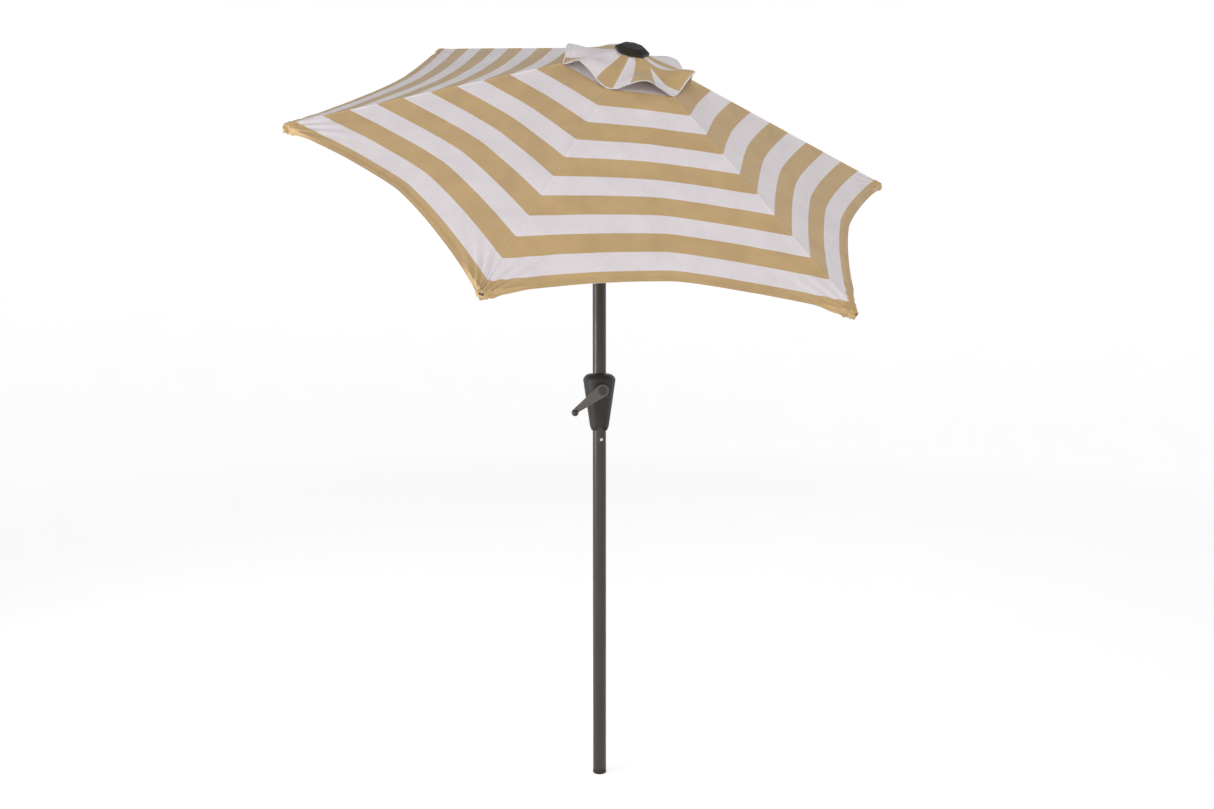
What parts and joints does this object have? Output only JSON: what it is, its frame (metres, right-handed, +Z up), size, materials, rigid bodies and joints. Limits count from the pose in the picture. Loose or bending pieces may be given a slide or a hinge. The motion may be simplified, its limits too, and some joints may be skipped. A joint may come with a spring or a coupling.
{
  "type": "tilting crank market umbrella",
  "caption": "Free-standing market umbrella with a two-piece pole, crank housing, push-button tilt joint, and a striped ribbed canopy shown open and leaned over.",
  "frame": {"origin": "centre of the pole's foot, on its bottom face", "axes": "+Z up the lower pole; the canopy leans towards azimuth -71 degrees, about -Y"},
  "size_m": [1.6018, 1.3732, 2.1718],
  "materials": {
    "pole_paint": "dark bronze powder coat, satin",
    "housing_plastic": "moulded dark brown plastic, fine texture",
    "crank_metal": "brown powder coat",
    "knob_plastic": "smooth dark plastic",
    "steel": "zinc plated",
    "spring_steel": "spring steel",
    "bearing_plastic": "plain nylon",
    "tip_plastic": "moulded dark plastic",
    "canopy_cloth": "woven cloth, tan and off-white stripes",
    "lift_cord": "braided cord"
  },
  "bodies": {
    "stand": {"lower_pole": "pole_paint", "foot_plug": "housing_plastic", "joint_sleeve": "steel", "snap_spring": "spring_steel", "main_pole": "pole_paint", "housing_front": "housing_plastic", "housing_back": "housing_plastic", "housing_screws": "steel", "shaft_bushings": "bearing_plastic", "brake_spring": "spring_steel", "tilt_socket": "pole_paint", "lift_cord_lower": "lift_cord"},
    "snap_button": {"snap_button": "steel"},
    "crank": {"crank_shaft": "steel", "cord_drum": "bearing_plastic", "crank_arm": "crank_metal"},
    "crank_knob": {"crank_knob": "knob_plastic"},
    "upper": {"tilt_fork": "pole_paint", "tilt_pin": "steel", "tilt_pole": "pole_paint", "tilt_button_spring": "spring_steel", "top_hub": "housing_plastic", "hub_pins": "steel", "finial": "housing_plastic", "lift_cord_bend": "lift_cord", "lift_cord_upper": "lift_cord", "lift_cord_run": "lift_cord"},
    "tilt_button": {"tilt_button": "knob_plastic"},
    "hub_pulley": {"hub_pulley": "bearing_plastic"},
    "runner": {"runner": "housing_plastic"},
    "rib_a": {"rib_a": "pole_paint", "rib_tip_a": "tip_plastic", "rib_bracket_a": "steel", "canopy_gore_a": "canopy_cloth"},
    "strut_a": {"strut_a": "pole_paint"},
    "rib_b": {"rib_b": "pole_paint", "rib_tip_b": "tip_plastic", "rib_bracket_b": "steel", "canopy_gore_b": "canopy_cloth"},
    "strut_b": {"strut_b": "pole_paint"},
    "rib_c": {"rib_c": "pole_paint", "rib_tip_c": "tip_plastic", "rib_bracket_c": "steel", "canopy_gore_c": "canopy_cloth"},
    "strut_c": {"strut_c": "pole_paint"},
    "rib_d": {"rib_d": "pole_paint", "rib_tip_d": "tip_plastic", "rib_bracket_d": "steel", "canopy_gore_d": "canopy_cloth"},
    "strut_d": {"strut_d": "pole_paint"},
    "rib_e": {"rib_e": "pole_paint", "rib_tip_e": "tip_plastic", "rib_bracket_e": "steel", "canopy_gore_e": "canopy_cloth"},
    "strut_e": {"strut_e": "pole_paint"},
    "rib_f": {"rib_f": "pole_paint", "rib_tip_f": "tip_plastic", "rib_bracket_f": "steel", "canopy_gore_f": "canopy_cloth"},
    "strut_f": {"strut_f": "pole_paint"}
  },
  "joints": [
    {"name": "snap_button_slide", "type": "slide", "parent": "stand", "child": "snap_button", "axis": [0.309, -0.9511, 0], "range_m": [-0.0035, 0], "stiffness_N_per_m": 900, "springref_m": 0.002, "deforming": ["snap_spring"]},
    {"name": "crank_turn", "type": "hinge", "parent": "stand", "child": "crank", "pos_m": [0, 0, 1.1165], "axis": [0.1736, -0.9848, 0], "range_deg": [0, 1180.1]},
    {"name": "knob_spin", "type": "hinge", "parent": "crank", "child": "crank_knob", "pos_m": [-0.07051, -0.06138, 1.05831], "axis": [0.1736, -0.9848, 0], "continuous": true},
    {"name": "tilt", "type": "hinge", "parent": "stand", "child": "upper", "pos_m": [0, 0, 1.607], "axis": [0.9455, 0.3256, 0], "range_deg": [-35, 0], "deforming": ["lift_cord_bend"]},
    {"name": "tilt_button_slide", "type": "slide", "parent": "upper", "child": "tilt_button", "axis": [-0.2667, 0.7745, 0.5736], "range_m": [-0.0025, 0], "stiffness_N_per_m": 900, "springref_m": 0.0015, "deforming": ["tilt_button_spring"]},
    {"name": "pulley_spin", "type": "hinge", "parent": "upper", "child": "hub_pulley", "pos_m": [0.07053, -0.20485, 1.93751], "axis": [0.9455, 0.3256, 0], "range_deg": [-1318.2, 0]},
    {"name": "canopy_fold", "type": "hinge", "parent": "upper", "child": "rib_a", "pos_m": [0.04796, -0.24347, 1.9622], "axis": [0.2001, -0.7953, -0.5722], "range_deg": [0, 66.8], "deforming": ["canopy_gore_a"]},
    {"name": "strut_a_swing", "type": "hinge", "parent": "rib_a", "child": "strut_a", "pos_m": [-0.12463, -0.24897, 1.9095], "axis": [0.2001, -0.7953, -0.5722], "range_deg": [-133.6, 0]},
    {"name": "rib_b_fold", "type": "hinge", "parent": "upper", "child": "rib_b", "pos_m": [0.0702, -0.26228, 1.94467], "axis": [0.933, -0.1632, -0.3207], "range_deg": [0, 66.8], "deforming": ["canopy_gore_b"]},
    {"name": "strut_b_swing", "type": "hinge", "parent": "rib_b", "child": "strut_b", "pos_m": [0.0058, -0.35931, 1.80671], "axis": [0.933, -0.1632, -0.3207], "range_deg": [-133.6, 0]},
    {"name": "rib_c_fold", "type": "hinge", "parent": "upper", "child": "rib_c", "pos_m": [0.10291, -0.25308, 1.94331], "axis": [0.7329, 0.6321, 0.2514], "range_deg": [0, 66.8], "deforming": ["canopy_gore_c"]},
    {"name": "strut_c_swing", "type": "hinge", "parent": "rib_c", "child": "strut_c", "pos_m": [0.19757, -0.30533, 1.79873], "axis": [0.7329, 0.6321, 0.2514], "range_deg": [-133.6, 0]},
    {"name": "rib_d_fold", "type": "hinge", "parent": "upper", "child": "rib_d", "pos_m": [0.11337, -0.22506, 1.95948], "axis": [-0.2001, 0.7953, 0.5722], "range_deg": [0, 66.8], "deforming": ["canopy_gore_d"]},
    {"name": "strut_d_swing", "type": "hinge", "parent": "rib_d", "child": "strut_d", "pos_m": [0.25891, -0.14101, 1.89354], "axis": [-0.2001, 0.7953, 0.5722], "range_deg": [-133.6, 0]},
    {"name": "rib_e_fold", "type": "hinge", "parent": "upper", "child": "rib_e", "pos_m": [0.09112, -0.20624, 1.97701], "axis": [-0.933, 0.1632, 0.3207], "range_deg": [0, 66.8], "deforming": ["canopy_gore_e"]},
    {"name": "strut_e_swing", "type": "hinge", "parent": "rib_e", "child": "strut_e", "pos_m": [0.12848, -0.03066, 1.99633], "axis": [-0.933, 0.1632, 0.3207], "range_deg": [-133.6, 0]},
    {"name": "rib_f_fold", "type": "hinge", "parent": "upper", "child": "rib_f", "pos_m": [0.05842, -0.21545, 1.97837], "axis": [-0.7329, -0.6321, -0.2514], "range_deg": [0, 66.8], "deforming": ["canopy_gore_f"]},
    {"name": "strut_f_swing", "type": "hinge", "parent": "rib_f", "child": "strut_f", "pos_m": [-0.06329, -0.08465, 2.00431], "axis": [-0.7329, -0.6321, -0.2514], "range_deg": [-133.6, 0]},
    {"name": "runner_slide", "type": "slide", "parent": "upper", "child": "runner", "axis": [-0.1867, 0.5423, -0.8192], "range_m": [0, 0.21624], "deforming": ["lift_cord_run"]}
  ],
  "couplings": [
    {"joint": "crank_turn", "follows": "canopy_fold", "ratio": 17.664},
    {"joint": "pulley_spin", "follows": "canopy_fold", "ratio": -19.731},
    {"joint": "strut_a_swing", "follows": "canopy_fold", "ratio": -2},
    {"joint": "rib_b_fold", "follows": "canopy_fold", "ratio": 1},
    {"joint": "strut_b_swing", "follows": "canopy_fold", "ratio": -2},
    {"joint": "rib_c_fold", "follows": "canopy_fold", "ratio": 1},
    {"joint": "strut_c_swing", "follows": "canopy_fold", "ratio": -2},
    {"joint": "rib_d_fold", "follows": "canopy_fold", "ratio": 1},
    {"joint": "strut_d_swing", "follows": "canopy_fold", "ratio": -2},
    {"joint": "rib_e_fold", "follows": "canopy_fold", "ratio": 1},
    {"joint": "strut_e_swing", "follows": "canopy_fold", "ratio": -2},
    {"joint": "rib_f_fold", "follows": "canopy_fold", "ratio": 1},
    {"joint": "strut_f_swing", "follows": "canopy_fold", "ratio": -2},
    {"joint": "runner_slide", "follows": "canopy_fold", "m_per_rad": 0.18548}
  ]
}
